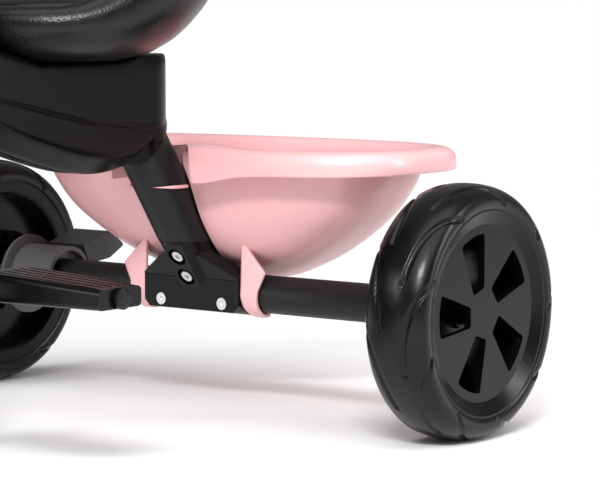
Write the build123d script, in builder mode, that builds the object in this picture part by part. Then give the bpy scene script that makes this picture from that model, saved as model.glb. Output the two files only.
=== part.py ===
"""A children's tricycle: two small rear wheels, a pedalled front wheel, a seat and a rear basket.

Row frame, in millimetres: +X is the rider's left, -Y is forward, +Z is up.  The origin is on the
floor, below the middle of the whole tricycle.
"""
import os
from math import cos, radians, sin

from build123d import *

os.makedirs("parts", exist_ok=True)

# ---- driving dimensions -------------------------------------------------------------------
wheelbase = 400.0
rear_axle_y = 198.5  # puts the origin half way between the front tyre and the basket's back
rear_tyre_r = 95.0
front_tyre_r = 125.0
rear_track_half = 243.0  # rear wheel mid-planes
rear_tyre_width = 52.0
front_tyre_width = 46.0

axle_tube_r = 15.0
axle_tube_half = 211.0
down_tube_r = 20.5
main_tube_r = 14.0
tube_wall = 2.0
rod_r = 5.0  # rear axle rod and crank
bush_wall = 3.0
running = 0.05  # radial clearance of everything that turns on a shaft
gap = 0.3  # end clearance between bodies

down_tube_lean = 34.4  # forward, from upright
down_tube_back = 3.0  # the tube's axis passes this far behind the axle's centre
steering_lean = 15.0  # backward, from upright
crank_throw = 80.0
crank_rise = 6.0  # at rest the left pedal is this far above the axle, the right one below
pedal_inner_x = 88.0
pedal_outer_x = 190.0

# ---- places worked out from them ----------------------------------------------------------
rear_axle = (rear_axle_y, rear_tyre_r)
front_axle_y = rear_axle_y - wheelbase
front_axle = (front_axle_y, front_tyre_r)

lean = radians(down_tube_lean)
steer = radians(steering_lean)
# Side view with its origin on the floor below the rear axle: x is +Y, y is +Z, normal is +X.
side_plane = Plane(origin=(0, rear_axle_y, 0), x_dir=(0, 1, 0), z_dir=(1, 0, 0))
# Along the down tube from the axle's centre: z runs up the tube, y runs square to it, backwards.
tube_plane = Plane(origin=(0, *rear_axle), x_dir=(1, 0, 0), z_dir=(0, -sin(lean), cos(lean)))
# Along the steering axis from the front axle: z runs up the axis, y runs square to it, backwards.
steer_plane = Plane(origin=(0, *front_axle), x_dir=(1, 0, 0), z_dir=(0, sin(steer), cos(steer)))


# ---- helpers ------------------------------------------------------------------------------
def save(builder, name):
    """Label a finished piece and write it as its own STEP file."""
    builder.part.label = name
    export_step(builder.part, f"parts/{name}.step")


def round_bar(plane, start, end, outer_r, inner_r=0.0, centre=(0.0, 0.0), mode=Mode.ADD):
    """A bar or tube square to a plane, between two distances from it."""
    with BuildSketch(plane.offset(start)) as section:
        with Locations(centre):
            Circle(outer_r)
            if inner_r:
                Circle(inner_r, mode=Mode.SUBTRACT)
    extrude(section.sketch, amount=end - start, mode=mode)


def across(axle):
    """The plane through an axle's centre whose normal is +X."""
    return Plane(origin=(0, *axle), x_dir=(0, 1, 0), z_dir=(1, 0, 0))


def turned(points, axle, x_mid=0.0, side=1, rounded=None, radius=0.0):
    """Spin an outline of (outboard distance, radius) corners about an axle parallel to X."""
    plane = Plane(origin=(x_mid, *axle), x_dir=(side, 0, 0), z_dir=(0, -side, 0))
    with BuildSketch(plane) as outline:
        with BuildLine():
            Polyline(*points, close=True)
        make_face()
        if rounded:
            fillet(outline.vertices().filter_by(rounded), radius)
    revolve(outline.sketch, axis=Axis((0, *axle), (1, 0, 0)))


def hex_nut(plane, start, height, across_flats, hole_r, centre=(0.0, 0.0)):
    """A plain hexagon nut square to a plane."""
    with BuildSketch(plane.offset(start)) as section:
        with Locations(centre):
            RegularPolygon(across_flats / 2, 6, major_radius=False)
            Circle(hole_r, mode=Mode.SUBTRACT)
    extrude(section.sketch, amount=height)


def cap_screw(plane, head_at, length, head_r, head_h, shank_r, centre=(0.0, 0.0)):
    """A button-headed screw: head towards the plane's back, shank along its normal."""
    round_bar(plane, head_at - head_h, head_at, head_r, centre=centre)
    round_bar(plane, head_at, head_at + length, shank_r, centre=centre)
    with BuildSketch(plane.offset(head_at - head_h)) as socket:
        with Locations(centre):
            RegularPolygon(shank_r * 0.6, 6, major_radius=False)
    extrude(socket.sketch, amount=head_h * 0.6, mode=Mode.SUBTRACT)


# ---- wheels -------------------------------------------------------------------------------
rim_seat = 6.9  # how far the rim's cone climbs up the tyre's bore
cover_face = 19.9  # the cover's flat face, outboard of the wheel's mid-plane
cover_back = 14.4
hub_r = 13.0
window_count = 5


def window_outline(bore_r):
    """One wing-shaped window: a straight radial edge, an arc outside, a slanting back edge."""
    outer_r = bore_r - 11.0
    inner_r = 0.32 * outer_r
    trail = radians(121)
    with BuildSketch() as window:
        with BuildLine():
            Line((0, inner_r), (0, outer_r))
            CenterArc((0, 0), outer_r, 90, 31)
            Line((outer_r * cos(trail), outer_r * sin(trail)), (-0.75 * inner_r, 0.75 * inner_r))
            Line((-0.75 * inner_r, 0.75 * inner_r), (0, inner_r))
        make_face()
        fillet(window.vertices(), 2.5)
    return window.sketch


def wheel_tyre(name, axle, x_mid, tyre_r, bore_r, width):
    """Foamed tyre: a nearly square section with round shoulders, seated on two cones."""
    half = width / 2
    seat = half - 7.0
    lip = half - 1.4
    outline = [(-seat, bore_r + 0.2), (-lip, bore_r + 0.3 + rim_seat), (-half, bore_r + 12)]
    outline += [(-half, tyre_r), (half, tyre_r)]
    outline += [(half, bore_r + 12), (lip, bore_r + 0.3 + rim_seat), (seat, bore_r + 0.2)]
    with BuildPart() as tyre:
        turned(outline, axle, x_mid, rounded=lambda v: abs(abs(v.X - x_mid) - half) < 0.01
               and abs(v.Z - axle[1] - tyre_r) < 0.01, radius=13)
    save(tyre, name)


def wheel_cover(name, axle, x_mid, side, bore_r, half_width):
    """Press-in disc: flat lip, cone, and a recessed face with five windows."""
    inset = half_width - 26.0
    lip = half_width - 1.4
    face = cover_face + inset
    back = cover_back + inset
    dish_r = bore_r - 4.4
    outline = [(lip, bore_r + 7), (lip, bore_r + 5.5), (face, dish_r), (face, 0), (back, 0)]
    outline += [(back, bore_r - 7.5), (back - 6, bore_r - 7.5), (back - 6, bore_r - 4.2)]
    outline += [(lip - 5.4, bore_r - 4.2), (lip - 5.4, bore_r + 0.1)]
    face_plane = Plane(origin=(x_mid + side * (face + 1), *axle), x_dir=(0, side, 0),
                       z_dir=(side, 0, 0))
    window = window_outline(bore_r)
    with BuildPart() as cover:
        turned(outline, axle, x_mid, side)
        with BuildSketch(face_plane):
            with PolarLocations(0, window_count):
                add(window)
        extrude(amount=-12, mode=Mode.SUBTRACT)
    save(cover, name)


def rear_wheel(prefix, side):
    """One rear wheel: core, tyre and cover; the right core also carries the brake's ring."""
    bore_r = 70.0
    x_mid = side * rear_track_half
    half = rear_tyre_width / 2
    outline = [(-half, rod_r + running), (-half, hub_r), (-6, hub_r), (-6, bore_r - 4)]
    outline += [(-half + 3.5, bore_r - 4), (-half + 1.4, bore_r - 2)]
    outline += [(-half + 1.4, bore_r + 7), (-half + 7, bore_r), (half - 7.0, bore_r)]
    outline += [(half - 7.0, bore_r - 4), (-2, bore_r - 4), (-2, hub_r), (2, hub_r)]
    outline += [(2, rod_r + running)]
    with BuildPart() as core:
        turned(outline, rear_axle, x_mid, side)
        if side < 0:
            inner_face = x_mid + half
            round_bar(across(rear_axle), inner_face - half + 6, inner_face, 35, 23)
            with BuildSketch(across(rear_axle).offset(inner_face + 1)):
                with PolarLocations(pin_circle_r, notch_count, start_angle=pin_angle):
                    Circle(pin_r + 1.2)
            extrude(amount=-9, mode=Mode.SUBTRACT)
    save(core, f"{prefix}_wheel_core")
    wheel_tyre(f"{prefix}_tyre", rear_axle, x_mid, rear_tyre_r, bore_r, rear_tyre_width)
    wheel_cover(f"{prefix}_wheel_cover", rear_axle, x_mid, side, bore_r, half)


def front_wheel():
    """The pedalled wheel: a core fixed on the crank, a tyre and a cover on each side."""
    bore_r = 98.0
    half = front_tyre_width / 2
    web = 3.0
    outline = [(-half, rod_r), (-half, hub_r), (-web, hub_r), (-web, bore_r - 4)]
    outline += [(-half + 7, bore_r - 4), (-half + 7, bore_r), (half - 7, bore_r)]
    outline += [(half - 7, bore_r - 4), (web, bore_r - 4), (web, hub_r), (half, hub_r)]
    outline += [(half, rod_r)]
    with BuildPart() as core:
        turned(outline, front_axle)
    save(core, "front_wheel_core")
    wheel_tyre("front_tyre", front_axle, 0.0, front_tyre_r, bore_r, front_tyre_width)
    for name, side in (("left", 1), ("right", -1)):
        inset = half - 26.0
        lip = half - 1.4
        face = cover_face + inset
        outline = [(lip, bore_r + 7), (lip, bore_r + 5.5), (face, bore_r - 4.4), (face, hub_r + 0.3)]
        outline += [(face - 5.5, hub_r + 0.3), (face - 5.5, bore_r - 7.5)]
        outline += [(face - 9, bore_r - 7.5), (face - 9, bore_r - 4.2), (lip - 5.4, bore_r - 4.2)]
        outline += [(lip - 5.4, bore_r + 0.1)]
        face_plane = Plane(origin=(side * (face + 1), *front_axle), x_dir=(0, side, 0),
                           z_dir=(side, 0, 0))
        window = window_outline(bore_r)
        with BuildPart() as cover:
            turned(outline, front_axle, 0.0, side)
            with BuildSketch(face_plane):
                with PolarLocations(0, window_count):
                    add(window)
            extrude(amount=-12, mode=Mode.SUBTRACT)
        save(cover, f"front_wheel_cover_{name}")


# ---- rear axle ----------------------------------------------------------------------------
bush_flange = 3.5
washer_t = 1.5
hub_inner_x = rear_track_half - rear_tyre_width / 2
hub_outer_x = rear_track_half + 2


def rear_axle_group():
    """Tube with its pilot holes, end bushes, the rod through them, washers and lock nuts."""
    axle = across(rear_axle)
    tube_bore = axle_tube_r - tube_wall
    with BuildPart() as tube:
        round_bar(axle, -axle_tube_half, axle_tube_half, axle_tube_r, tube_bore)
        for x in (-lower_screw_x, lower_screw_x):
            round_bar(front_screw_plane(x), -25, 0, 2.5, mode=Mode.SUBTRACT)
            round_bar(screw_plane(310, x), -25, 0, 2.5, mode=Mode.SUBTRACT)
        round_bar(screw_plane(165, -collar_screw_x), -25, 0, 2.0, mode=Mode.SUBTRACT)
    save(tube, "rear_axle_tube")
    with BuildPart() as rod:
        round_bar(axle, -hub_outer_x - 9, hub_outer_x + 9, rod_r)
        chamfer(rod.edges().filter_by(GeomType.CIRCLE), 0.8)
    save(rod, "rear_axle_rod")
    for name, side in (("left", 1), ("right", -1)):
        with BuildPart() as bush:
            outline = [(axle_tube_half - 22, rod_r), (axle_tube_half - 22, tube_bore)]
            outline += [(axle_tube_half, tube_bore), (axle_tube_half, axle_tube_r)]
            outline += [(axle_tube_half + bush_flange, axle_tube_r - 1)]
            outline += [(axle_tube_half + bush_flange, rod_r)]
            turned(outline, rear_axle, 0.0, side)
        save(bush, f"axle_bush_{name}")
    with BuildPart() as washers:
        for side in (1, -1):
            inner = axle_tube_half + bush_flange
            turned([(inner, rod_r), (inner, 10), (inner + washer_t, 10), (inner + washer_t, rod_r)],
                   rear_axle, 0.0, side)
            outer = hub_outer_x + gap
            turned([(outer, rod_r), (outer, 10), (outer + washer_t, 10), (outer + washer_t, rod_r)],
                   rear_axle, 0.0, side)
    save(washers, "axle_washers")
    nut_x = hub_outer_x + gap + washer_t
    with BuildPart() as nuts:
        hex_nut(axle, nut_x, 6.5, 16, rod_r)
        hex_nut(axle, -nut_x - 6.5, 6.5, 16, rod_r)
    save(nuts, "axle_lock_nuts")


# ---- frame tubes and the bracket on the axle ------------------------------------------------
neck_front = -14.5  # flat front of the bracket's neck, square distance from the axle's centre
neck_top_z = 136.0
head_low = 162.0  # head tube, distances up the steering axis
head_high = 232.0
head_tube_r = 18.0
steerer_r = 11.0
spigot_r = down_tube_r - tube_wall - 0.1
upper_bolt_at = (24.2, 44.3)
nut_at = 20.5  # the upper nuts sit in pockets this far behind the neck's flat front
lower_screw_x = 31.0
lower_screw_z = 87.0
saddle_half = 48.0
saddle_r = 17.6
saddle_front = -20.0  # flat front of the saddle
gusset_points = [(-48, 5), (-48, 22), (-18, 44), (18, 44), (48, 22), (48, 5)]


def frame_tubes():
    """Down tube, bent main tube and head tube, welded together inside the casing."""
    centre = (0.0, down_tube_back)
    with BuildPart() as down_tube:
        round_bar(tube_plane, 20, 230, down_tube_r, down_tube_r - tube_wall, centre)
        with BuildSketch(Plane.XY.offset(neck_top_z + 0.4)):
            Rectangle(900, 900)
        extrude(amount=-200, mode=Mode.SUBTRACT)
        with BuildSketch(Plane.XY.offset(262)):
            Rectangle(900, 900)
        extrude(amount=200, mode=Mode.SUBTRACT)
    save(down_tube, "down_tube")

    start = (0, rear_axle_y - 105, 246)
    bend = (0, rear_axle_y - 240, 254)
    head = steer_plane.from_local_coords((0, 0, 187))
    with BuildPart() as main_tube:
        with BuildLine():
            FilletPolyline(start, bend, head, radius=120)
        with BuildSketch(Plane(origin=start, z_dir=Vector(*bend) - Vector(*start))):
            Circle(main_tube_r)
            Circle(main_tube_r - tube_wall, mode=Mode.SUBTRACT)
        sweep()
        round_bar(tube_plane, 20, 230, down_tube_r, centre=centre, mode=Mode.SUBTRACT)
        round_bar(steer_plane, head_low - 20, head_high + 20, head_tube_r, mode=Mode.SUBTRACT)
    save(main_tube, "main_tube")

    with BuildPart() as head_tube:
        round_bar(steer_plane, head_low, head_high, head_tube_r, head_tube_r - tube_wall)
    save(head_tube, "head_tube")


def headset():
    """Two flanged plastic bushes that the steerer turns in."""
    bore = steerer_r + running
    barrel = head_tube_r - tube_wall
    with BuildPart() as lower:
        round_bar(steer_plane, head_low - 2, head_low, head_tube_r, bore)
        round_bar(steer_plane, head_low, head_low + 18, barrel, bore)
    save(lower, "headset_bush_lower")
    with BuildPart() as upper:
        round_bar(steer_plane, head_high, head_high + 2, head_tube_r, bore)
        round_bar(steer_plane, head_high - 18, head_high, barrel, bore)
    save(upper, "headset_bush_upper")


def saddle_sector(first, last, half_width):
    """Part of a sleeve round the axle tube, between two angles counted from +Y towards +Z."""
    with BuildSketch(across(rear_axle).offset(-half_width)) as section:
        with BuildLine():
            CenterArc((0, 0), saddle_r, first, last - first)
            CenterArc((0, 0), axle_tube_r + 0.05, first, last - first)
            for angle in (radians(first), radians(last)):
                inner = axle_tube_r + 0.05
                Line((inner * cos(angle), inner * sin(angle)),
                     (saddle_r * cos(angle), saddle_r * sin(angle)))
        make_face()
    extrude(section.sketch, amount=2 * half_width)


def screw_plane(angle_deg, x):
    """A plane on the axle's line at X = x, whose normal points inwards at an angle."""
    angle = radians(angle_deg)
    return Plane(origin=(x, *rear_axle), x_dir=(1, 0, 0), z_dir=(0, -cos(angle), -sin(angle)))


def front_screw_plane(x):
    """A plane through the axle at X = x whose normal points straight back."""
    return Plane(origin=(x, rear_axle_y, lower_screw_z), x_dir=(1, 0, 0), z_dir=(0, 1, 0))


def axle_bracket_group():
    """Moulded bracket whose neck plugs into the down tube, its rear strap and their screws."""
    tube_centre = (0.0, down_tube_back)
    with BuildPart() as bracket:
        round_bar(tube_plane, 0, 90, down_tube_r - 0.2, centre=tube_centre)
        with BuildSketch(Plane.XY.offset(neck_top_z)):
            Rectangle(900, 900)
        extrude(amount=300, mode=Mode.SUBTRACT)
        round_bar(tube_plane, 50, 105, spigot_r, centre=tube_centre)
        with BuildSketch(tube_plane.offset(-5)):
            with Locations((0, neck_front - 50)):
                Rectangle(100, 100)
        extrude(amount=62, mode=Mode.SUBTRACT)
        gusset_plane = Plane(origin=tube_plane.from_local_coords((0, -10, 0)), x_dir=(1, 0, 0),
                             z_dir=-tube_plane.y_dir)
        with BuildSketch(gusset_plane) as gussets:
            Polygon(*gusset_points, align=None)
        extrude(gussets.sketch, amount=-11)
        saddle_sector(180, 268, saddle_half)
        with BuildSketch(Plane(origin=(0, rear_axle_y + saddle_front, 0), x_dir=(1, 0, 0),
                               z_dir=(0, -1, 0))) as flat_front:
            Polygon((-saddle_half, 86), (-saddle_half + 5, 80.5), (saddle_half - 5, 80.5),
                    (saddle_half, 86), (saddle_half, 106), (-saddle_half, 106), align=None)
        extrude(flat_front.sketch, amount=-12)
        round_bar(across(rear_axle), -60, 60, axle_tube_r + 0.05, mode=Mode.SUBTRACT)
        for along in upper_bolt_at:
            bolt_plane = Plane(origin=tube_plane.from_local_coords((0, neck_front, along)),
                               x_dir=(1, 0, 0), z_dir=tube_plane.y_dir)
            round_bar(bolt_plane, -8, 4, 8, mode=Mode.SUBTRACT)
            round_bar(bolt_plane, 0, 60, 3.05, mode=Mode.SUBTRACT)
            round_bar(bolt_plane, nut_at, 60, 6.2, mode=Mode.SUBTRACT)
        for x in (-lower_screw_x, lower_screw_x):
            round_bar(front_screw_plane(x), -25, 0, 2.6, mode=Mode.SUBTRACT)
            round_bar(front_screw_plane(x), -25, -17.5, 5.6, mode=Mode.SUBTRACT)
    save(bracket, "axle_bracket")

    with BuildPart() as strap:
        saddle_sector(272, 345, saddle_half)
        for x in (-lower_screw_x, lower_screw_x):
            round_bar(screw_plane(310, x), -25, 0, 2.6, mode=Mode.SUBTRACT)
    save(strap, "bracket_strap")

    with BuildPart() as bolts:
        for along in upper_bolt_at:
            bolt_plane = Plane(origin=tube_plane.from_local_coords((0, neck_front, along)),
                               x_dir=(1, 0, 0), z_dir=tube_plane.y_dir)
            cap_screw(bolt_plane, 4, nut_at + 1.5, 4.8, 3.4, 3.0)
    save(bolts, "bracket_bolts")

    with BuildPart() as nuts:
        for along in upper_bolt_at:
            bolt_plane = Plane(origin=tube_plane.from_local_coords((0, neck_front, along)),
                               x_dir=(1, 0, 0), z_dir=tube_plane.y_dir)
            hex_nut(bolt_plane, nut_at, 5, 10, 3.0)
    save(nuts, "bracket_nuts")

    with BuildPart() as screws:
        for x in (-lower_screw_x, lower_screw_x):
            cap_screw(front_screw_plane(x), -17.5, 8, 4.8, 2.6, 2.5)
            cap_screw(screw_plane(310, x), -saddle_r, 7, 4.8, 2.6, 2.5)
    save(screws, "saddle_screws")


# ---- casing -------------------------------------------------------------------------------
casing_half = 30.0
keel_flat = 11.0  # half width of the keel's flat bottom
keel_half = 26.0  # half width at the step, where its slanting sides end
keel_slant = 12.0  # how far the sides rise as they spread
casing_wall = 3.0
casing_rear = 98.5  # centre of the casing's round end, ahead of the rear axle
casing_back_top = 283.0
keel_line = [(-76, 236), (-92, 211), (-120, 197.5), (-154, 194), (-192, 203), (-254, 221.5),
             (-292, 243), (-306, 264)]


def keel_outline(at_x, lift):
    """The keel seen from the side, at a distance from the middle, its belly lifted."""
    with BuildSketch(side_plane.offset(at_x)) as outline:
        with BuildLine():
            belly = Spline(*[(y, z + lift) for y, z in keel_line])
            Polyline(belly @ 1, (-290, 280), (-240, 262), (-120, 255), belly @ 0)
        make_face()
    return outline.sketch


def casing_form(inset):
    """The left half of the casing as a solid, every surface moved inwards by the inset."""
    with BuildPart() as form:
        with BuildSketch(side_plane) as upper:
            with BuildLine():
                Polyline((-68.5, 226), (-168, 234), (-262, 253.6), (-316, 272), (-359.7, 283),
                         (-343, 345.7), (-300, 318), (-262, 286), (-222, 271), (-124, 271),
                         (-112, casing_back_top), (-68.5, casing_back_top), close=True)
            make_face()
            if inset:
                offset(amount=-inset, kind=Kind.INTERSECTION)
        extrude(amount=casing_half - inset)
        with BuildSketch(Plane.XY.offset(150)):
            with Locations((0, rear_axle_y - casing_rear)):
                Circle(casing_half - inset)
            with Locations((0, rear_axle_y - casing_rear - 200)):
                Rectangle(2 * (casing_half - inset), 400)
        extrude(amount=300, mode=Mode.INTERSECT)
        if not inset:
            rounded = form.edges().filter_by(lambda e: e.center().X > 20 and e.center().Z > 269)
            fillet(rounded.filter_by(lambda e: e.center().Y > rear_axle_y - 260), 4)
        extrude(keel_outline(0, inset), amount=keel_flat)
        loft([keel_outline(keel_flat, inset), keel_outline(keel_half - inset, inset + keel_slant)])
    return form.part


def casing():
    """Two moulded halves, screwed together along the middle, round all three tubes."""
    outer = casing_form(0.0)
    inner = casing_form(casing_wall)
    screw_places = [(-150, 214, keel_half - 2), (-230, 232, keel_half - 2), (-300, 300, casing_half)]
    with BuildPart() as left:
        add(outer)
        add(inner, mode=Mode.SUBTRACT)
        for y, z, half in screw_places:
            round_bar(side_plane, 0, half - casing_wall, 5, 2.0, (y, z))
        round_bar(tube_plane, 20, 200, down_tube_r + gap, centre=(0, down_tube_back),
                  mode=Mode.SUBTRACT)
        round_bar(steer_plane, head_low - 30, head_high + 30, head_tube_r + gap, mode=Mode.SUBTRACT)
        with BuildLine(mode=Mode.PRIVATE) as tube_line:
            FilletPolyline((0, rear_axle_y - 105, 246), (0, rear_axle_y - 240, 254),
                           steer_plane.from_local_coords((0, 0, 187)), radius=120)
        with BuildSketch(Plane(origin=tube_line.line @ 0, z_dir=tube_line.line % 0)):
            Circle(main_tube_r + gap)
        sweep(path=tube_line.line, mode=Mode.SUBTRACT)
    save(left, "body_shell_left")
    with BuildPart() as right:
        add(mirror(left.part, about=Plane.YZ, mode=Mode.PRIVATE))
    save(right, "body_shell_right")
    with BuildPart() as screws:
        for y, z, half in screw_places:
            round_bar(side_plane, casing_wall + 1 - half, half - 8, 1.9, centre=(y, z))
    save(screws, "shell_screws")


# ---- seat ---------------------------------------------------------------------------------
seat_y = -178.0  # centre of the seat, from the rear axle
seat_wall = 8.0
pan_sections = [(279.5, 38, 35), (284, 67, 63), (296, 91, 85), (310, 106, 99), (325, 120, 112)]
plate_top = 279.2


def oval(height, half_width, half_length):
    """A level ellipse centred on the seat."""
    with BuildSketch(Plane.XY.offset(height)) as level:
        with Locations((0, rear_axle_y + seat_y)):
            Ellipse(half_width, half_length)
    return level.sketch


def seat_screw_bars(mode=Mode.ADD):
    """Four screws through the pan's floor into the plate, or the holes for them."""
    for x in (-14, 14):
        for y in (-10, 20):
            round_bar(Plane.XY, 272, 287, 2.5, centre=(x, rear_axle_y + seat_y + y), mode=mode)


def seat_group():
    """Mounting plate, bucket pan with a low back, cushion and the screws between them."""
    with BuildPart() as plate:
        with BuildSketch(Plane.XY.offset(271.2)):
            with Locations((0, rear_axle_y + seat_y + 10)):
                RectangleRounded(44, 70, 6)
        extrude(amount=plate_top - 271.2)
        seat_screw_bars(Mode.SUBTRACT)
    save(plate, "seat_mount_plate")

    with BuildPart() as pan:
        loft([oval(*section) for section in pan_sections])
        extrude(oval(325, 120, 112), amount=85)
        with BuildSketch(Plane.YZ):
            with BuildLine():
                Polyline((-200, 319), (rear_axle_y + seat_y - 70, 319),
                         (rear_axle_y + seat_y + 10, 345), (rear_axle_y + seat_y + 80, 396),
                         (200, 396), (200, 420), (-200, 420), close=True)
            make_face()
        extrude(amount=130, both=True, mode=Mode.SUBTRACT)
        loft([oval(height + seat_wall, half_width - seat_wall, half_length - seat_wall)
              for height, half_width, half_length in pan_sections], mode=Mode.SUBTRACT)
        extrude(oval(325 + seat_wall, 120 - seat_wall, 112 - seat_wall), amount=120,
                mode=Mode.SUBTRACT)
        seat_screw_bars(Mode.SUBTRACT)
    save(pan, "seat_pan")

    with BuildPart() as cushion:
        levels = [oval(height + seat_wall + 1, half_width - seat_wall - 4, half_length - seat_wall - 4)
                  for height, half_width, half_length in pan_sections[:-1]]
        loft(levels + [oval(328, 86, 79)])
    save(cushion, "seat_cushion")

    with BuildPart() as screws:
        seat_screw_bars()
    save(screws, "seat_screws")


# ---- basket -------------------------------------------------------------------------------
basket_y = 30.0
basket_wall = 3.0
basket_rim_z = 210.0
rim_half_width = 194.0
rim_half_depth = 100.0
# height, half width, half depth, centre behind the rear axle
bowl_sections = [(101, 26, 12, 46), (107, 58, 27, 43), (122, 93, 45, 38), (139, 121, 57, 34),
                 (159, 146, 67, 31), (181, 163, 74, 30), (210, 170, 79, 30)]


def full_oval(half_width, half_depth):
    """A closed curve fuller than an ellipse: the cubes of x/a and y/b add up to one."""
    points = []
    for step in range(24):
        across_share = cos(radians(15 * step))
        deep_share = sin(radians(15 * step))
        reach = (abs(across_share) ** 3 + abs(deep_share) ** 3) ** (-1 / 3)
        points.append((half_width * reach * across_share, half_depth * reach * deep_share))
    with BuildSketch() as level:
        with BuildLine():
            Spline(*points, periodic=True)
        make_face()
    return level.sketch


def bowl(wall):
    """The bowl as a solid, drawn in and raised by a wall's thickness."""
    with BuildPart() as form:
        for height, half_width, half_depth, centre in bowl_sections:
            lift = wall if height < basket_rim_z else 0.2 * wall
            with BuildSketch(Plane.XY.offset(height + lift)):
                with Locations((0, rear_axle_y + centre)):
                    add(full_oval(half_width - wall, half_depth - wall))
        loft()
    return form.part


def tube_slot(radius, low, high):
    """A leaning slot with a round back, open to the front, that the down tube stands in."""
    with BuildPart() as slot:
        round_bar(tube_plane, low, high, radius, centre=(0, down_tube_back))
        with BuildSketch(tube_plane.offset(low)):
            with Locations((0, down_tube_back - 40)):
                Rectangle(2 * radius, 80)
        extrude(amount=high - low)
    return slot.part


def basket_hook(x_start):
    """A leg that comes down in front of the axle tube and curls under it."""
    inner = axle_tube_r + gap
    outer = inner + 3
    with BuildSketch(across(rear_axle).offset(x_start)) as section:
        with BuildLine():
            CenterArc((0, 0), outer, 150, 130)
            CenterArc((0, 0), inner, 150, 130)
            Line((outer * cos(radians(280)), outer * sin(radians(280))),
                 (inner * cos(radians(280)), inner * sin(radians(280))))
            Polyline((outer * cos(radians(150)), outer * sin(radians(150))), (-19, 45), (-14, 45),
                     (inner * cos(radians(150)), inner * sin(radians(150))))
        make_face()
    extrude(section.sketch, amount=15)


def basket():
    """One moulded basket: bowl, rolled rim, slot for the down tube and two hooks."""
    outer = bowl(0.0)
    inner = bowl(basket_wall)
    with BuildPart() as slot_wall:
        add(tube_slot(25.0, 10, 175))
        add(outer, mode=Mode.INTERSECT)
    with BuildPart() as tub:
        add(outer)
        add(inner, mode=Mode.SUBTRACT)
        add(slot_wall.part)
        with BuildSketch(Plane.XY.offset(basket_rim_z)):
            with Locations((0, rear_axle_y + basket_y)):
                add(full_oval(rim_half_width, rim_half_depth))
                add(full_oval(167, 76), mode=Mode.SUBTRACT)
        extrude(amount=-3)
        with BuildSketch(Plane.XY.offset(basket_rim_z)):
            with Locations((0, rear_axle_y + basket_y)):
                add(full_oval(rim_half_width, rim_half_depth))
                add(full_oval(rim_half_width - 3, rim_half_depth - 3), mode=Mode.SUBTRACT)
        extrude(amount=-14)
        for x in (-64.5, 49.5):
            basket_hook(x)
        add(tube_slot(22.0, 0, 190), mode=Mode.SUBTRACT)
        with BuildSketch(Plane.XY.offset(180)):
            with Locations((0, rear_axle_y - 80)):
                Rectangle(2 * 28, 2 * 40)
        extrude(amount=60, mode=Mode.SUBTRACT)
    save(tub, "basket")


# ---- parking brake on the right rear wheel ----------------------------------------------------
sleeve_near = -148.0
sleeve_far = -203.0
pin_circle_r = 29.5
pin_r = 2.5
pin_angle = -50.0
pin_travel = 5.0
notch_count = 12
collar_in = -204.0
collar_out = -211.0
collar_screw_x = 207.5


def brake():
    """A foot lever that turns on the axle tube and pushes a pin into the wheel's notches."""
    axle = across(rear_axle)
    turn = radians(pin_angle)
    pin_at = (pin_circle_r * cos(turn), pin_circle_r * sin(turn))
    with BuildPart() as collar:
        round_bar(axle, collar_out, collar_in, 24, axle_tube_r + 0.02)
        round_bar(axle, collar_out, collar_in, 7, centre=pin_at)
        round_bar(axle, collar_out - 2, collar_in + 2, pin_r + running, centre=pin_at,
                  mode=Mode.SUBTRACT)
        round_bar(screw_plane(165, -collar_screw_x), -30, 0, 2.0, mode=Mode.SUBTRACT)
        round_bar(axle, collar_out, collar_in, axle_tube_r + 0.02, mode=Mode.SUBTRACT)
    save(collar, "brake_collar")
    with BuildPart() as screw:
        cap_screw(screw_plane(165, -collar_screw_x), -24, 11, 3.2, 2.2, 2.0)
    save(screw, "brake_collar_screw")

    with BuildPart() as pin:
        round_bar(axle, -214.2, -198.7, pin_r, centre=pin_at)
    save(pin, "brake_pin")

    with BuildPart() as sleeve:
        round_bar(axle, sleeve_far, sleeve_near, 25.5, 22)
        for start, end in ((-200, -190), (-166, -156)):
            round_bar(axle, start, end, 22, axle_tube_r + running)
        round_bar(axle, -195.7, -192.7, 33, 25)
        # The ramp starts beside the pin, so pressing the lever brings its high end behind it.
        ramp = Plane(origin=(0, *rear_axle), x_dir=(0, -sin(turn), cos(turn)),
                     z_dir=(0, cos(turn), sin(turn)))
        with BuildSketch(ramp.offset(24)):
            with BuildLine():
                Polyline((3, -198.7), (15.2, -203.3), (18, -203.3), (18, -194), (3, -194), close=True)
            make_face()
        extrude(amount=9)
    save(sleeve, "brake_sleeve")

    with BuildPart() as pedal:
        with BuildSketch(side_plane.offset(-187)):
            with BuildLine():
                Polyline((16, 120.5), (50, 130), (68, 117), (49, 107), (24, 104), close=True)
            make_face()
        extrude(amount=40)
        fillet(pedal.edges().filter_by(Axis.X).sort_by(Axis.Y)[1:], 2)
        round_bar(axle, sleeve_far - 5, sleeve_near + 5, 25.5, mode=Mode.SUBTRACT)
        # Three lateral grip ribs on the sloping tread.
        tread = Plane(origin=(-167, rear_axle_y + 59, 123.5), x_dir=(1, 0, 0),
                      z_dir=(0, 13, 18))
        with BuildSketch(tread):
            with GridLocations(0, 6, 1, 3):
                Rectangle(36, 2)
        extrude(amount=1.2)
    save(pedal, "brake_pedal")


# ---- fork, steering and handlebar -----------------------------------------------------------
crown_low = 143.0
crown_high = head_low - 2 - gap
leg_x = 37.0
leg_t = 10.0
bar_r = 11.0
bar_centre_at = 287.0
fender_in = 131.0
fender_out = 133.5


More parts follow.
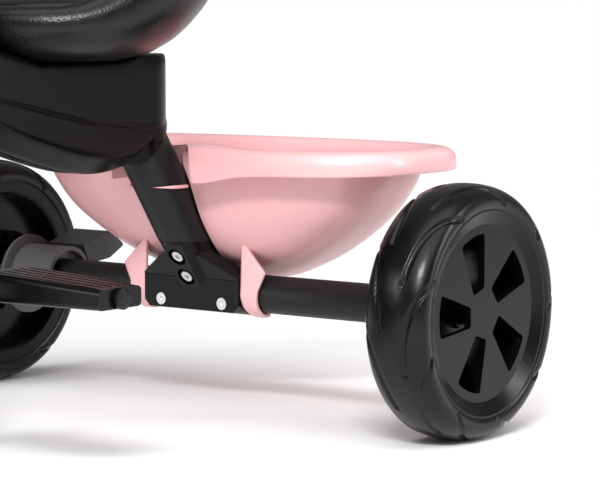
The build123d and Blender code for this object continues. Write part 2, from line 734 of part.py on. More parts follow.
def fork():
    """Crown, steerer, two legs with bushes for the crank, and the fender under the crown."""
    with BuildPart() as crown:
        with BuildSketch(steer_plane.offset(crown_low)):
            RectangleRounded(2 * leg_x + leg_t + 6, 36, 12)
        extrude(amount=crown_high - crown_low)
        round_bar(steer_plane, crown_low - 1, crown_high + 1, steerer_r, mode=Mode.SUBTRACT)
    save(crown, "fork_crown")
    with BuildPart() as steerer:
        round_bar(steer_plane, crown_low + 4, 270, steerer_r, steerer_r - tube_wall)
        round_bar(steer_plane, crown_low + 4, crown_low + 9, steerer_r, 2.1)
    save(steerer, "fork_steerer")
    for name, side in (("left", 1), ("right", -1)):
        start = side * leg_x - leg_t / 2
        with BuildPart() as leg:
            with BuildSketch(steer_plane):
                with Locations((side * leg_x, 0)):
                    RectangleRounded(leg_t, 24, 3)
            extrude(amount=crown_low)
            round_bar(across(front_axle), start, start + leg_t, 13)
            round_bar(across(front_axle), start - 1, start + leg_t + 1, rod_r + bush_wall,
                      mode=Mode.SUBTRACT)
        save(leg, f"fork_leg_{name}")
        with BuildPart() as bush:
            round_bar(across(front_axle), start, start + leg_t, rod_r + bush_wall, rod_r + running)
        save(bush, f"fork_bush_{name}")
    first = radians(22)
    section = Plane(origin=(0, *front_axle), x_dir=(1, 0, 0), z_dir=(0, -sin(first), cos(first)))
    with BuildPart() as fender:
        with BuildSketch(section):
            with BuildLine():
                Polyline((-27, 122), (-27, 130), (-22, fender_out), (22, fender_out), (27, 130),
                         (27, 122), (24.8, 122), (24.8, 129), (21, fender_in), (-21, fender_in),
                         (-24.8, 129), (-24.8, 122), close=True)
            make_face()
        revolve(axis=Axis((0, *front_axle), (1, 0, 0)), revolution_arc=140)
        round_bar(steer_plane, fender_in + 1, crown_low, 9)
        round_bar(steer_plane, 100, crown_low + 1, 2.1, mode=Mode.SUBTRACT)
    save(fender, "front_fender")
    with BuildPart() as screw:
        round_bar(steer_plane, fender_in - 3.5, fender_in - 0.2, 5)
        round_bar(steer_plane, fender_in - 0.2, crown_low + 12, 2.0)
    save(screw, "fender_screw")


def stem_screw_plane(x):
    """A plane through the handlebar's centre at X = x, whose normal points straight back."""
    return Plane(origin=steer_plane.from_local_coords((x, 0, bar_centre_at)), x_dir=(1, 0, 0),
                 z_dir=(0, 1, 0))


def handlebar_group():
    """Stem on the steerer, bent handlebar, rubber grips and the clamp screws."""
    with BuildPart() as stem:
        round_bar(steer_plane, head_high + 2 + gap, bar_centre_at, 17)
        cross = Plane(origin=steer_plane.from_local_coords((0, 0, bar_centre_at)),
                      x_dir=(0, 1, 0), z_dir=(1, 0, 0))
        round_bar(cross, -23, 23, 17)
        round_bar(cross, -30, 30, bar_r, mode=Mode.SUBTRACT)
        round_bar(steer_plane, 200, 270, steerer_r, mode=Mode.SUBTRACT)
        for x in (-15, 15):
            round_bar(stem_screw_plane(x), -20, -10, 2, mode=Mode.SUBTRACT)
    save(stem, "handlebar_stem")

    centre = steer_plane.from_local_coords((0, 0, bar_centre_at))
    shoulder = Vector(48, centre.Y, centre.Z)
    rise = Vector(104, centre.Y + 16, centre.Z + 72)
    tip = Vector(192, centre.Y + 46, centre.Z + 76)

    def mirrored(point):
        return Vector(-point.X, point.Y, point.Z)

    with BuildPart() as bar:
        with BuildLine():
            FilletPolyline(mirrored(tip), mirrored(rise), mirrored(shoulder), shoulder, rise, tip,
                           radius=28)
        with BuildSketch(Plane(origin=mirrored(tip), z_dir=mirrored(rise) - mirrored(tip))):
            Circle(bar_r)
            Circle(bar_r - tube_wall, mode=Mode.SUBTRACT)
        sweep()
    save(bar, "handlebar")

    for name, end, start in (("left", tip, rise), ("right", mirrored(tip), mirrored(rise))):
        inward = (start - end).normalized()
        with BuildPart() as grip:
            grip_plane = Plane(origin=end, z_dir=inward)
            round_bar(grip_plane, -4, 78, 16)
            round_bar(grip_plane, 66, 70, 20)
            for ridge in range(6):
                round_bar(grip_plane, 6 + 10 * ridge, 9 + 10 * ridge, 17.2)
            round_bar(grip_plane, 0, 80, bar_r, mode=Mode.SUBTRACT)
        save(grip, f"grip_{name}")

    with BuildPart() as screws:
        for x in (-15, 15):
            cap_screw(stem_screw_plane(x), -17, 5, 4, 2.6, 2)
    save(screws, "stem_screws")


# ---- crank and pedals -----------------------------------------------------------------------
def crank_and_pedals():
    """One bent rod through the front hub, with a ribbed pedal on each end."""
    y, z = front_axle
    spindle_end = pedal_outer_x + 3.5
    arm_x = 72.0
    with BuildPart() as crank:
        with BuildLine():
            FilletPolyline((spindle_end, y + crank_throw, z + crank_rise),
                           (arm_x, y + crank_throw, z + crank_rise), (arm_x, y, z), (-arm_x, y, z),
                           (-arm_x, y - crank_throw, z - crank_rise),
                           (-spindle_end, y - crank_throw, z - crank_rise), radius=12)
        with BuildSketch(Plane(origin=(spindle_end, y + crank_throw, z + crank_rise),
                               z_dir=(-1, 0, 0))):
            Circle(rod_r)
        sweep()
    save(crank, "crank")
    for name, side in (("left", 1), ("right", -1)):
        spindle = (y + side * crank_throw, z + side * crank_rise)
        with BuildPart() as pedal:
            for x, length, low, high in ((pedal_inner_x, 50, -7, 13), (pedal_outer_x, 42, -6.5, 7)):
                end = Plane(origin=(side * x, *spindle), x_dir=(0, side, 0), z_dir=(side, 0, 0))
                with BuildSketch(end):
                    with Locations((0, (low + high) / 2)):
                        RectangleRounded(length, high - low, 3.5)
            loft()
            # Long ribs on the tread, left standing between grooves.
            with BuildSketch(Plane(origin=(side * 139, spindle[0], spindle[1] + 30))):
                with GridLocations(0, 8, 1, 5):
                    Rectangle(88, 3)
            extrude(amount=-24.2, mode=Mode.SUBTRACT)
            round_bar(across(spindle), side * 139 - 60, side * 139 + 60, rod_r + running,
                      mode=Mode.SUBTRACT)
        save(pedal, f"pedal_{name}")
    with BuildPart() as caps:
        for side in (1, -1):
            spindle = (y + side * crank_throw, z + side * crank_rise)
            turned([(spindle_end - 2.5, rod_r), (spindle_end - 2.5, 7), (spindle_end, 7),
                    (spindle_end + 1.5, 4), (spindle_end + 1.5, 0), (spindle_end, 0),
                    (spindle_end, rod_r)], spindle, 0.0, side)
    save(caps, "pedal_caps")
    with BuildPart() as clips:
        for side in (1, -1):
            for x in (48.0, 25.0):
                turned([(x, rod_r), (x, 9), (x + 4, 9), (x + 4, rod_r)], front_axle, 0.0, side)
    save(clips, "crank_spacers")


rear_axle_group()
frame_tubes()
headset()
axle_bracket_group()
casing()
seat_group()
basket()
rear_wheel("rear_left", 1)
rear_wheel("rear_right", -1)
front_wheel()
brake()
fork()
handlebar_group()
crank_and_pedals()
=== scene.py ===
"""A children's tricycle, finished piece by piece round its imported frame. Lengths are in millimetres
until a mesh is made; +X is the rider's left, -Y is forward, +Z is up."""
from math import cos, pi, radians, sin, tan

import bmesh
import bpy
import numpy as np
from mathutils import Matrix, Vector


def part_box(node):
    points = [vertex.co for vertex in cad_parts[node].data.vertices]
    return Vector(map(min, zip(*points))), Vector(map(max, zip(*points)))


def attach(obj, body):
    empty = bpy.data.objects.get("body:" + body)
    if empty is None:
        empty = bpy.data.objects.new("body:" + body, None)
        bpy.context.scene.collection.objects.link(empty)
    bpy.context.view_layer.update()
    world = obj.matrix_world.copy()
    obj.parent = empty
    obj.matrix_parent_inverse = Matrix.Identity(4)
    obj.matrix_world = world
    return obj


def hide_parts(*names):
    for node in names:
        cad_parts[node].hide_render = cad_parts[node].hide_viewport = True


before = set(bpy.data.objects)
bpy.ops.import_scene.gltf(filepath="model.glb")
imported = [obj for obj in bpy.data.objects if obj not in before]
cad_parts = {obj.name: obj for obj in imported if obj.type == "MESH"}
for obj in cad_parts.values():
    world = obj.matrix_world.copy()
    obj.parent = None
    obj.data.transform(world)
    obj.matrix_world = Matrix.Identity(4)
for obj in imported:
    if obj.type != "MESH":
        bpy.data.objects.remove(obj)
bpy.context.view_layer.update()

# ---- frame tubes ----------------------------------------------------------------------------
# Round steel tube, bent and welded, then sprayed with black powder paint and stoved.  The paint is
# satin with a faint orange peel.


class Value:
    """An output socket that takes part in sums as a number does, adding its own Math nodes."""

    def __init__(self, finish, socket):
        self.finish, self.socket = finish, socket

    def _math(self, operation, first, second):
        return self.finish.node("ShaderNodeMath", {"operation": operation}, {0: first, 1: second})

    def __add__(self, other):
        return self._math("ADD", self, other)

    def __mul__(self, other):
        return self._math("MULTIPLY", self, other)

    def __rsub__(self, other):
        return self._math("SUBTRACT", other, self)

    __radd__ = __add__
    __rmul__ = __mul__


class Finish:
    """A material: one Principled shader and the nodes that vary it over the surface."""

    def __init__(self, name, colour, **constants):
        self.material = bpy.data.materials.new(name)
        self.material.use_nodes = True
        self.tree = self.material.node_tree
        self.shader = self.tree.nodes["Principled BSDF"]
        self.feed(self.shader.inputs["Base Color"], (*colour, 1.0))
        for socket, value in constants.items():
            self.feed(self.shader.inputs[socket.replace("_", " ")], value)
        self.place = self.node("ShaderNodeTexCoord", output="Object")

    def feed(self, socket, value):
        """A link from a Value, or a plain setting."""
        if isinstance(value, Value):
            self.tree.links.new(value.socket, socket)
        else:
            socket.default_value = value

    def node(self, kind, settings=None, inputs=None, output=0):
        """Any node: its settings first, a ramp's stops among them, then its sockets."""
        made = self.tree.nodes.new(kind)
        for name, value in (settings or {}).items():
            setattr(made, name, value)
        for key, value in (inputs or {}).items():
            self.feed(made.inputs[key], value)
        return Value(self, made.outputs[output])

    def noise(self, per_metre, detail=2.0):
        """Soft noise from 0 to 1, so many blobs to the metre."""
        return self.node("ShaderNodeTexNoise", {}, {"Vector": self.place, "Scale": per_metre,
                                                    "Detail": detail}, "Fac")

    def tint(self, mask, dark, light):
        """Base colour between two colours, by a mask from 0 to 1."""
        mixed = self.node("ShaderNodeMix", {"data_type": "RGBA"},
                          {0: mask, 6: (*dark, 1.0), 7: (*light, 1.0)}, 2)
        self.feed(self.shader.inputs["Base Color"], mixed)

    def rough(self, value):
        self.feed(self.shader.inputs["Roughness"], value)

    def relief(self, height, depth):
        """Bump of so many millimetres where the height goes from 0 to 1."""
        bump = self.node("ShaderNodeBump", {}, {"Strength": 1.0, "Distance": depth * 0.001,
                                                "Height": height})
        self.feed(self.shader.inputs["Normal"], bump)


def dress(finish, *names):
    """Give CAD pieces a finish."""
    for name in names:
        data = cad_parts[name].data
        if not data.materials:
            data.materials.append(finish.material)
        for index in range(len(data.materials)):
            data.materials[index] = finish.material


black_paint = Finish("black_powder_paint", (0.008, 0.008, 0.0085), Specular_IOR_Level=0.3)
black_paint.rough(0.40 + 0.08 * black_paint.noise(90))
black_paint.relief(black_paint.noise(700), 0.05)
dress(black_paint, "rear_axle_tube", "down_tube", "main_tube", "head_tube")

# ---- bright hardware ------------------------------------------------------------------------
# Zinc-plated rod, crank and screws: drawn or rolled steel, slightly clouded by the bath.  The axle's
# nuts and washers and the pedals' caps are black.
bright_steel = Finish("zinc_plated_steel", (0.72, 0.72, 0.70), Metallic=1.0)
bright_steel.rough(0.22 + 0.16 * bright_steel.noise(220))
dress(bright_steel, "rear_axle_rod", "bracket_bolts", "bracket_nuts",
      "saddle_screws", "brake_collar_screw", "crank", "stem_screws", "fork_steerer",
      "shell_screws", "seat_screws", "fender_screw", "brake_pin")

dark_zinc = Finish("black_zinc", (0.03, 0.03, 0.03), Metallic=1.0)
dark_zinc.rough(0.4 + 0.15 * dark_zinc.noise(220))
dress(dark_zinc, "axle_washers", "axle_lock_nuts", "pedal_caps")

# ---- moulded bracket on the axle --------------------------------------------------------------
# Black nylon moulding with a flat front and two gussets; its neck plugs into the down tube and a
# strap behind the axle tube closes it.  The wheels, pedals, fork, handlebar and small bushes have the
# same glossy black finish, with a tight grain.
black_plastic = Finish("black_moulded_plastic", (0.0022, 0.0022, 0.0024), Specular_IOR_Level=0.2)
black_plastic.rough(0.17 + 0.08 * black_plastic.noise(160))
black_plastic.relief(black_plastic.noise(1600), 0.04)
dress(black_plastic, "axle_bracket", "bracket_strap", "axle_bush_left", "axle_bush_right",
      "headset_bush_lower", "headset_bush_upper", "seat_mount_plate", "brake_collar", "fork_bush_left",
      "fork_bush_right", "crank_spacers", "pedal_left", "pedal_right", "fork_crown", "fork_leg_left",
      "fork_leg_right", "handlebar_stem", "rear_left_wheel_core", "rear_right_wheel_core",
      "front_wheel_core", "rear_left_wheel_cover", "rear_right_wheel_cover",
      "front_wheel_cover_left", "front_wheel_cover_right", "handlebar", "front_fender")

# ---- tyres ------------------------------------------------------------------------------------
# Foamed black tyre with a full round section, pushed over the wheel's core.  Swirl channels start
# near the rim's lip, cross the shoulder and run along the tread to a round end.
black_foam = Finish("black_foam", (0.0022, 0.0022, 0.0024), Specular_IOR_Level=0.26)
black_foam.rough(0.2 + 0.12 * black_foam.noise(45, 4.0))
black_foam.relief(black_foam.noise(900) + 0.5 * black_foam.noise(240), 0.05)
shoulder_r = 13.0  # height of the crown over the flat of the side
squareness = 0.84  # 1 would be a half ellipse, 0 a square
groove_half = 2.1
groove_depth = 1.7
groove_step = 40.0  # degrees between channels on one side
# Degrees from the channel's start, and millimetres from the lip over the shoulder.
groove_path = [(-2, 4.2), (0.5, 6.8), (4, 10.2), (8, 14.8), (12, 18), (16, 20.8), (21, 23.2), (26, 25),
               (35, 27.2), (43, 28.4)]


def solid(name, points, finish, body, wrap=(True, True)):
    """A closed mesh over a grid of points, rows by columns, in millimetres. Either direction joins
    up on itself; points that fall together are merged, and all faces are turned outwards."""
    rows, columns = points.shape[:2]
    index = np.arange(rows * columns).reshape(rows, columns)
    down = np.arange(rows if wrap[0] else rows - 1)
    along = np.arange(columns if wrap[1] else columns - 1)
    a = index[np.ix_(down, along)]
    b = index[np.ix_(down, (along + 1) % columns)]
    c = index[np.ix_((down + 1) % rows, (along + 1) % columns)]
    d = index[np.ix_((down + 1) % rows, along)]
    faces = np.stack([a, b, c, d], axis=-1).reshape(-1, 4)
    flat = points.reshape(-1, 3) * 0.001
    p, q, r, s = (flat[faces[:, k]] for k in range(4))
    volume = (np.cross(p, q) * r).sum() + (np.cross(p, r) * s).sum()
    if volume < 0:
        faces = faces[:, ::-1]
    mesh = bpy.data.meshes.new(name)
    mesh.from_pydata(flat, [], faces)
    work = bmesh.new()
    work.from_mesh(mesh)
    bmesh.ops.remove_doubles(work, verts=work.verts, dist=2e-6)
    bmesh.ops.dissolve_degenerate(work, edges=work.edges, dist=1e-6)
    work.to_mesh(mesh)
    work.free()
    mesh.polygons.foreach_set("use_smooth", np.ones(len(mesh.polygons), bool))
    mesh.materials.append(finish.material)
    piece = bpy.data.objects.new(name, mesh)
    bpy.context.scene.collection.objects.link(piece)
    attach(piece, body)
    return piece


def evenly(corners, spacing):
    """Points a set distance apart along a polyline of any dimension."""
    corners = np.asarray(corners, float)
    run = np.concatenate([[0], np.cumsum(np.linalg.norm(np.diff(corners, axis=0), axis=1))])
    wanted = np.linspace(0, run[-1], int(round(run[-1] / spacing)) + 1)
    return np.stack([np.interp(wanted, run, corners[:, k]) for k in range(corners.shape[1])], 1)


def channel_distance(turn, run, pattern, radius, step):
    """Millimetres from each point, given as degrees round and millimetres over the section, to the
    nearest copy of the pattern's line."""
    best = np.full(turn.shape, 1e9)
    scale = radians(1) * radius
    for copy in (-2, -1, 0, 1):
        base = (turn % step) - copy * step
        for (t0, s0), (t1, s1) in zip(pattern, pattern[1:]):
            along = np.array([(t1 - t0) * scale, s1 - s0])
            offset = np.stack([(base - t0) * scale, run - s0])
            share = np.clip((offset[0] * along[0] + offset[1] * along[1]) / (along @ along), 0, 1)
            best = np.minimum(best, np.hypot(offset[0] - share * along[0],
                                             offset[1] - share * along[1]))
    return best


def tyre(name, body, node, axle, x_mid, side, radius, bore, width):
    """A ring whose section runs from lip to lip over the tread, closed across the bore. Each point
    sinks along its normal by a channel's depth, which falls off smoothly from the channel's line."""
    half = width / 2
    turn = np.linspace(0, pi, 120)
    crown = np.stack([half * np.sign(np.cos(turn)) * np.abs(np.cos(turn)) ** squareness,
                      radius - shoulder_r + shoulder_r * np.sin(turn) ** squareness], 1)
    lip = np.array([(half - 1.4, bore + 7.2), (half - 0.6, bore + 8.4), (half - 0.1, bore + 10.5)])
    outer = np.concatenate([lip, crown, lip[::-1] * (-1, 1)])
    section = evenly(outer, 0.8)
    run = np.arange(len(section)) * 0.8
    slope = np.gradient(section, axis=0)
    normal = np.stack([-slope[:, 1], slope[:, 0]], 1)
    normal *= -1 / np.linalg.norm(normal, axis=1)[:, None]
    degrees = np.linspace(0, 360, 720, endpoint=False)
    grid_turn, grid_run = np.meshgrid(degrees, run, indexing="ij")
    length = run[-1]
    outboard = channel_distance(grid_turn, grid_run, groove_path, radius, groove_step)
    inboard = channel_distance(grid_turn - groove_step / 2, length - grid_run, groove_path, radius,
                               groove_step)
    distance = np.minimum(outboard, inboard)
    sink = np.clip((groove_half + 0.5 - distance) / 1.1, 0, 1)
    sink = groove_depth * sink * sink * (3 - 2 * sink)
    u = section[:, 0] - normal[:, 0] * sink
    r = section[:, 1] - normal[:, 1] * sink
    seat = np.array([(-(half - 7), bore + 0.2), (half - 7, bore + 0.2)])
    u = np.concatenate([u, np.broadcast_to(seat[:, 0], (len(degrees), 2))], 1)
    r = np.concatenate([r, np.broadcast_to(seat[:, 1], (len(degrees), 2))], 1)
    angle = np.radians(degrees)[:, None]
    points = np.stack([x_mid + side * u, axle[0] + r * np.cos(angle), axle[1] + r * np.sin(angle)], -1)
    piece = solid(name, points, black_foam, body)
    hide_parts(node)


def centre_of(node):
    """The middle of a CAD piece's box, in millimetres."""
    low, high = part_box(node)
    return [500 * (a + b) for a, b in zip(low, high)]


rear_axle = centre_of("rear_axle_rod")[1:]
front_axle = centre_of("front_wheel_core")[1:]
for side, word in ((1, "left"), (-1, "right")):
    tyre(f"tyre_rear_{word}", f"rear_{word}_wheel", f"rear_{word}_tyre", rear_axle, side * 243.0, side,
         95.0, 70.0, 52.0)
tyre("tyre_front", "front_wheel", "front_tyre", front_axle, 0.0, 1, 125.0, 98.0, 46.0)

# ---- basket -----------------------------------------------------------------------------------
# One polypropylene moulding, glossy pale pink: a bowl with a rolled rim, a leaning slot that the
# down tube stands in, a thin tab at each side of the tube, and two hooks round the axle tube.
pink_plastic = Finish("pink_plastic", (0.84, 0.45, 0.46), Specular_IOR_Level=0.5, Coat_Weight=0.3,
                      Coat_Roughness=0.12)
pink_plastic.tint(pink_plastic.noise(25), (0.82, 0.435, 0.45), (0.86, 0.465, 0.475))
pink_plastic.rough(0.32 + 0.08 * pink_plastic.noise(70))
pink_plastic.relief(pink_plastic.noise(260), 0.02)
lean = radians(34.4)  # of the down tube, forward of upright
tube_back = 3.0  # from the axle's centre to the down tube's axis, square to the tube
wall = 3.0


def tube_y(z):
    """How far behind the axle the down tube's axis passes at a height above the floor."""
    return tube_back / cos(lean) - (z - rear_axle[1]) * tan(lean)


def smooth_line(stations, steps):
    """A Catmull-Rom line through stations of any dimension, with so many steps between them."""
    p = np.asarray(stations, float)
    p = np.concatenate([[2 * p[0] - p[1]], p, [2 * p[-1] - p[-2]]])
    t = np.linspace(0, 1, steps, endpoint=False)[:, None]
    parts = []
    for a, b, c, d in zip(p, p[1:], p[2:], p[3:]):
        parts.append(0.5 * (2 * b + (c - a) * t + (2 * a - 5 * b + 4 * c - d) * t ** 2
                            + (3 * b - a - 3 * c + d) * t ** 3))
    return np.concatenate([*parts, p[-2:-1]])


def slotted_oval(z, half_width, half_depth, centre, slot_half, slot_r):
    """A level curve: an oval in which the cubes of x/a and y/b add up to one, broken at the front,
    where straight cheeks run in to the back of a slot. The slot's back is an oval about the leaning
    tube's level section. Corners are softened."""
    y_slot = tube_y(z)
    x = np.linspace(0, slot_half, 200)
    back = y_slot + slot_r / cos(lean) * np.sqrt(np.clip(1 - (x / slot_half) ** 2, 0, 1))
    front = centre - half_depth * np.clip(1 - np.minimum(x / half_width, 1) ** 3, 0, 1) ** (1 / 3)
    open_at = np.nonzero(back >= front)[0]
    edge = x[open_at[-1]] if len(open_at) else 0.0
    depth = (1 - min(edge / half_width, 1.0) ** 3) ** (1 / 3)
    start = np.arctan2(edge / half_width, depth)
    t = np.linspace(start, 2 * pi - start, 280)
    reach = (np.abs(np.sin(t)) ** 3 + np.abs(np.cos(t)) ** 3) ** (-1 / 3)
    oval = np.stack([half_width * reach * np.sin(t), centre - half_depth * reach * np.cos(t)], 1)
    xs = edge * np.cos(np.linspace(pi, 0, 34))
    reach = y_slot + slot_r / cos(lean) * np.sqrt(np.clip(1 - (xs / slot_half) ** 2, 0, 1))
    if not len(open_at):
        reach = np.full(34, centre - half_depth)
    slot = np.stack([xs, reach], 1)
    share = np.linspace(0, 1, 10)[1:-1, None]
    left_cheek = oval[-1] + (slot[0] - oval[-1]) * share
    right_cheek = slot[-1] + (oval[0] - slot[-1]) * share
    curve = np.concatenate([oval, left_cheek, slot, right_cheek])
    for _ in range(4):
        curve = 0.25 * np.roll(curve, 1, 0) + 0.5 * curve + 0.25 * np.roll(curve, -1, 0)
    return curve


lobe_x, lobe_spread = 44, 30  # where the rim's lobes beside the slot are, and how wide
lobe_rise, lobe_drop = 3.5, 7  # of the lobes' crest, and of their skirt
front_drop = 1.5  # of the skirt all along the front


def skin(stations, steps):
    """Level curves at every step of a smooth line through the stations. Beside the slot the rim's
    crest rises and its skirt drops, each by a bell curve exp(-((|x| - lobe_x) / lobe_spread)^2)."""
    rows = []
    for z, half_width, half_depth, centre, slot_half, slot_r, share, crest in smooth_line(stations, steps):
        curve = slotted_oval(z, half_width, half_depth, centre, slot_half, slot_r)
        ahead = np.clip((centre - curve[:, 1]) / half_depth, 0, 1)
        beside = np.exp(-((np.abs(curve[:, 0]) - lobe_x) / lobe_spread) ** 2) * (curve[:, 1] < centre)
        height = z - share * (front_drop * ahead ** 1.5 + lobe_drop * beside) + crest * lobe_rise * beside
        rows.append(np.column_stack([curve[:, 0], rear_axle[0] + curve[:, 1], height]))
    return np.stack(rows)


# Height, half width, half depth, centre behind the axle, slot half width, slot radius, drop, crest.
slot_out, slot_in = 22.2, 25.2
outside = [(101, 0.5, 0.5, 46, slot_out, slot_out, 0, 0), (101, 16, 8, 46, slot_out, slot_out, 0, 0),
           (102.5, 36, 16, 45.4, slot_out, slot_out, 0, 0), (107, 58, 27, 43, slot_out, slot_out, 0, 0),
           (122, 93, 45, 38, slot_out, slot_out, 0, 0), (139, 121, 57, 34, slot_out, slot_out, 0, 0),
           (159, 146, 67, 31, slot_out, slot_out, 0, 0), (181, 163, 74, 30, slot_out, slot_out, 0, 0),
           (196, 168.5, 77, 30, slot_out, slot_out, 0, 0),
           (201, 171, 79.5, 30, 23.5, 23.5, 0, 0.3), (204.5, 176, 84, 30, 27, 24, 0, 1),
           (204.5, 185, 92, 30, 35, 24, 0, 1), (202, 188.6, 95.6, 30, 38, 24, 0.5, 0.5),
           (195, 190.4, 97, 30, 39, 24, 1, 0), (193.6, 191.6, 98, 30, 39.5, 24, 1, 0),
           (195, 192.8, 99, 30, 39.5, 24, 1, 0), (202, 193.2, 99.4, 30, 39, 24, 0.6, 0.5),
           (207.5, 191, 97.4, 30, 38, 24, 0, 1), (210.5, 186.5, 93, 30, 36, 24, 0, 1),
           (211.5, 180, 87.5, 30, 33, 24.5, 0, 1), (210, 173, 81.5, 30, 29, 25, 0, 1),
           (203.5, 167.5, 76.5, 30, slot_in + 1, slot_in + 1, 0, 0.3)]
inside = [(z + wall, w - wall, d - wall, c, slot_in, slot_in, 0, 0)
          for z, w, d, c, *_ in outside[7:1:-1]]
inside += [(101 + wall, 12, 6, 46, slot_in, slot_in, 0, 0),
           (101 + wall, 0.4, 0.4, 46, slot_in, slot_in, 0, 0)]
basket = solid("basket_moulding", skin(outside + inside, 5), pink_plastic, "frame",
               (False, True))
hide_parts("basket")


def capped(rows):
    """The same rows with one more at each end, all of it at that end row's middle, which closes it."""
    first, last = (np.broadcast_to(end.mean(1, keepdims=True), end.shape) for end in (rows[:1], rows[-1:]))
    return np.concatenate([first, rows, last])


def strip(path, normals, left, right, thickness):
    """A ribbon with rounded edges. Each row is a rounded rectangle, |u|^8 + |v|^8 = 1 stretched between
    two places along X and over a thickness behind the path, square to it."""
    angle = np.linspace(0, 2 * pi, 32, endpoint=False) + pi / 32
    shape = np.stack([np.cos(angle), np.sin(angle)], 1)
    shape /= (np.abs(shape) ** 8).sum(1)[:, None] ** (1 / 8)
    rows = []
    for (y, z), (ny, nz), x0, x1 in zip(path, normals, left, right):
        x = (x0 + x1) / 2 + shape[:, 0] * (x1 - x0) / 2
        depth = (shape[:, 1] - 1) * thickness / 2
        rows.append(np.column_stack([x, rear_axle[0] + y + ny * depth, z + nz * depth]))
    return capped(np.stack(rows))


hook_turn = np.radians(np.linspace(168, 284, 30))
hook_r = 18.8  # outside of the curl, round the axle tube
hook_wall = 3.2
drop = smooth_line([(-16.6, 41), (-17.4, 27), (-18.2, 13)], 7)[:-1]
curl = hook_r * np.stack([np.cos(hook_turn), np.sin(hook_turn)], 1)
hook_path = np.concatenate([drop, curl])
tangent = np.gradient(hook_path, axis=0)
hook_normal = np.stack([tangent[:, 1], -tangent[:, 0]], 1)
hook_normal /= np.linalg.norm(hook_normal, axis=1)[:, None]
if hook_normal[-1] @ curl[-1] < 0:
    hook_normal = -hook_normal
height = hook_path[:, 1]
hook_inner = np.interp(height, [-20, -12, 0, 41], [53, 50, 48.5, 48.5])
hook_outer = np.interp(height, [-20, -16, -6, 6, 11, 16, 19, 40, 41],
                       [60, 63, 64, 65, 67.5, 71, 71.5, 51, 50.5])
hook_path = hook_path + (0, rear_axle[1])
for side, word in ((1, "left"), (-1, "right")):
    solid(f"basket_hook_{word}", strip(hook_path, hook_normal, side * hook_inner, side * hook_outer,
                                       hook_wall), pink_plastic, "frame", (False, True))

tab_z = 181.0
tab_r = 21.2
tab_turn = np.linspace(0.5, 1.75, 40)
tab_share = np.clip((tab_turn - 0.5) / 0.7, 0.02, 1)
# Outwards and upwards round the tab's section.
tab_section = np.array([(0, 1.0), (0.6, 1.4), (2.2, 1.1), (2.7, 0), (2.2, -1.1), (0.6, -1.4), (0, -1.0)])
for side, word in ((1, "left"), (-1, "right")):
    tab = []
    for out, up in tab_section:
        ring = tab_r + out * tab_share
        tab.append(np.column_stack([side * ring * np.sin(tab_turn),
                                    rear_axle[0] + tube_y(tab_z) - ring / cos(lean) * np.cos(tab_turn),
                                    tab_z + up * tab_share]))
    solid(f"basket_tab_{word}", capped(np.stack(tab, 1)), pink_plastic, "frame",
          (False, True))

# ---- casing -----------------------------------------------------------------------------------
# Two glossy black moulded halves over the joint of the tubes, screwed together on the middle line:
# an upright box with a round back end, a narrower keel under its lower lip, a collar on the tube.
black_casing = Finish("black_casing", (0.002, 0.002, 0.0022), Specular_IOR_Level=0.14)
black_casing.rough(0.22 + 0.06 * black_casing.noise(60))
black_casing.relief(black_casing.noise(500), 0.02)
casing_end, casing_half, end_round = -66.5, 31.5, 12.0
keel_half, keel_flat, keel_rise = 26.5, 10.0, 13.0
seam = 0.12  # half the gap between the two halves
# Each line gives places ahead of the rear axle and their heights.
top_line = [(-359.7, 284), (-343, 345.7), (-300, 318), (-262, 288), (-222, 279.2), (-136, 279.2),
            (-124, 281), (-112, 284), (casing_end, 284)]
lip_line = [(-359.7, 283), (-316, 272), (-262, 253.6), (-168, 234), (-110, 227.5), (-90, 228),
            (casing_end, 236)]
belly_line = [(-359.7, 300), (-306, 264), (-292, 245), (-254, 221), (-192, 202), (-150, 195),
              (-120, 197), (-102, 203), (-88, 214), (casing_end, 240)]


def casing_section(y):
    """One half seen from behind: belly, slanting side, lip, wall and top, then up the middle. Near
    the back end the width follows a circle and the top corner a smaller one."""
    reach = max(y - casing_end + casing_half, 0)
    half = np.sqrt(max(casing_half ** 2 - reach ** 2, 0.01))
    over = max(y - casing_end + end_round, 0)
    top = np.interp(y, *np.transpose(top_line)) - end_round + np.sqrt(max(end_round ** 2 - over ** 2, 0))
    lip = np.interp(y, *np.transpose(lip_line))
    belly = min(np.interp(y, *np.transpose(smooth_line(belly_line, 8))), lip)
    keel, flat = min(keel_half, half - 0.01), min(keel_flat, half - 0.02)
    side = min(belly + keel_rise, lip)
    corners = [(seam, belly), (flat, belly), (keel, side), (keel, lip), (half, lip), (half, top),
               (seam, top)]
    share = np.linspace(0, 1, 16, endpoint=False)[:, None]
    ring = np.concatenate([start + (end - start) * share
                           for start, end in zip(np.array(corners), np.roll(corners, -1, 0))])
    for _ in range(5):
        ring = 0.25 * np.roll(ring, 1, 0) + 0.5 * ring + 0.25 * np.roll(ring, -1, 0)
    ring[:, 0] = np.maximum(ring[:, 0], seam)
    return np.column_stack([ring[:, 0], np.full(len(ring), rear_axle[0] + y), ring[:, 1]])


quarter = np.linspace(pi / 2, 0, 20)
casing_stations = np.concatenate([casing_end - casing_half + casing_half * np.sin(quarter),
                                  np.linspace(-102, -340, 70), np.linspace(-343, -359.6, 8)])
half_casing = capped(np.stack([casing_section(y) for y in casing_stations]))
for side, word in ((1, "left"), (-1, "right")):
    shell = solid(f"casing_{word}", half_casing * (side, 1, 1), black_casing, "frame",
                  (False, True))
    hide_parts(f"body_shell_{word}")

